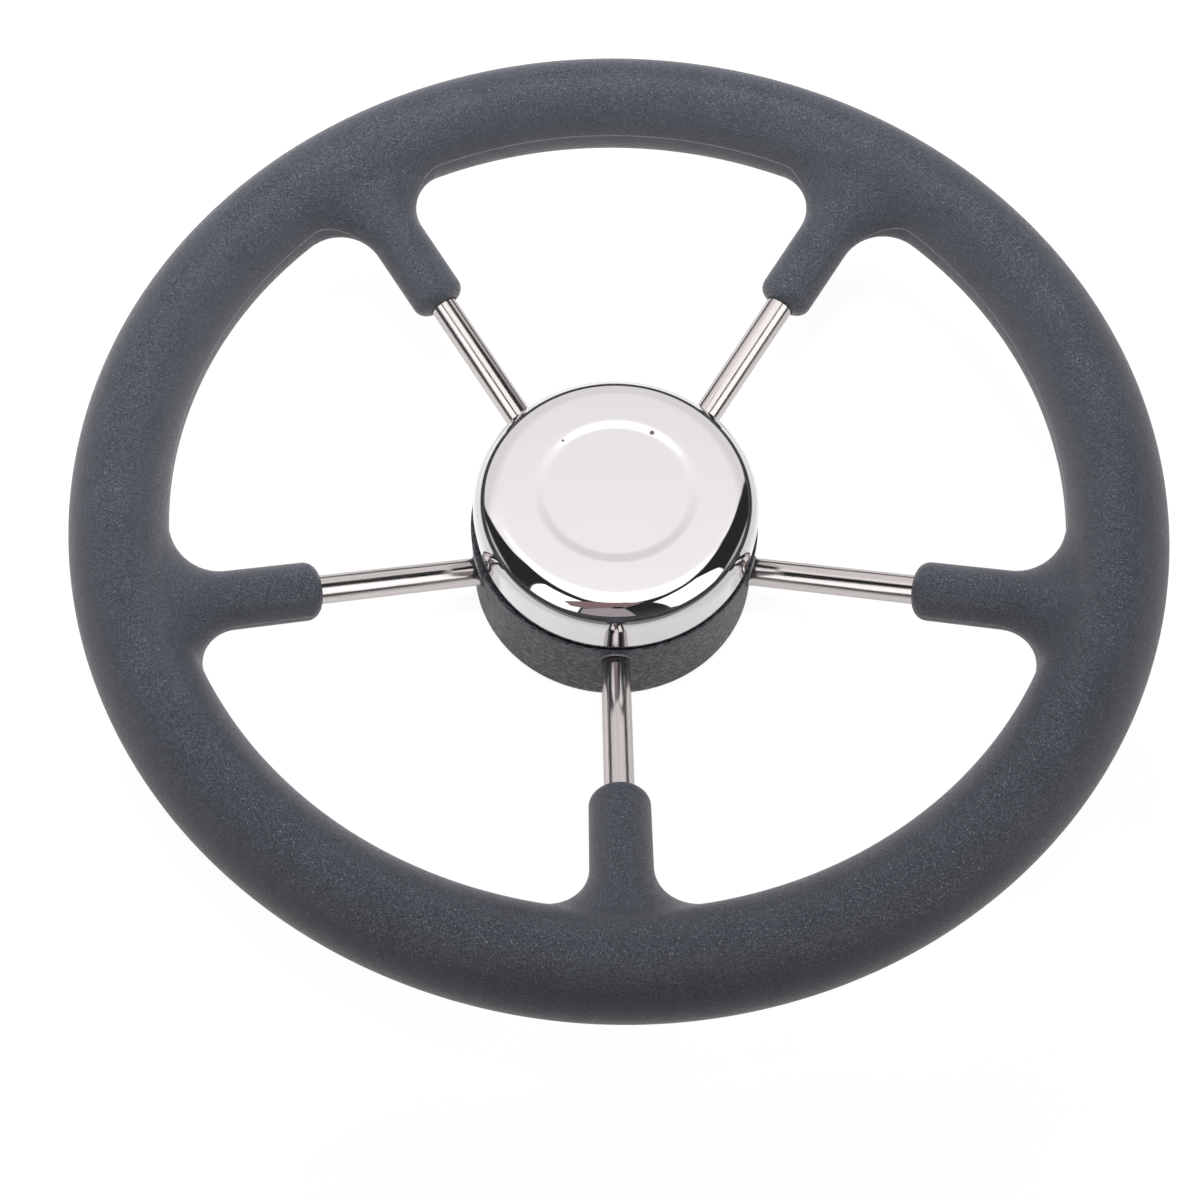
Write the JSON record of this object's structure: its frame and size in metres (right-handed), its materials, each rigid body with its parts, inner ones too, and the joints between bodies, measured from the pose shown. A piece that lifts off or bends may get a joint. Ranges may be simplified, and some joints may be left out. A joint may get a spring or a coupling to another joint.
{
  "type": "boat steering wheel",
  "caption": "Round boat steering wheel with a thick soft grip, slim polished rods dished back to the hub, and a smooth domed cap over its tapered shaft bore.",
  "frame": {"origin": "on the shaft axis at the hub's back face, the lowest plane of the wheel", "axes": "+Z along the shaft axis towards the driver, and the first spoke points along -Y"},
  "size_m": [0.35, 0.3499, 0.0808],
  "materials": {
    "frame_steel": "turned and welded stainless steel, bare",
    "spoke_steel": "polished stainless steel rod",
    "cap_steel": "mirror polished stainless steel sheet",
    "grip_foam": "soft moulded foam with a fine leather grain, satin",
    "boss_foam": "soft moulded foam with a coarse leather grain, satin",
    "ring_rubber": "plain black rubber"
  },
  "bodies": {
    "root": {"hub_core": "frame_steel", "rim_ring": "frame_steel", "spoke_1": "spoke_steel", "spoke_2": "spoke_steel", "spoke_3": "spoke_steel", "spoke_4": "spoke_steel", "spoke_5": "spoke_steel", "rim_grip": "grip_foam", "hub_boss": "boss_foam", "centre_cap": "cap_steel", "cap_ring": "ring_rubber"}
  },
  "joints": []
}
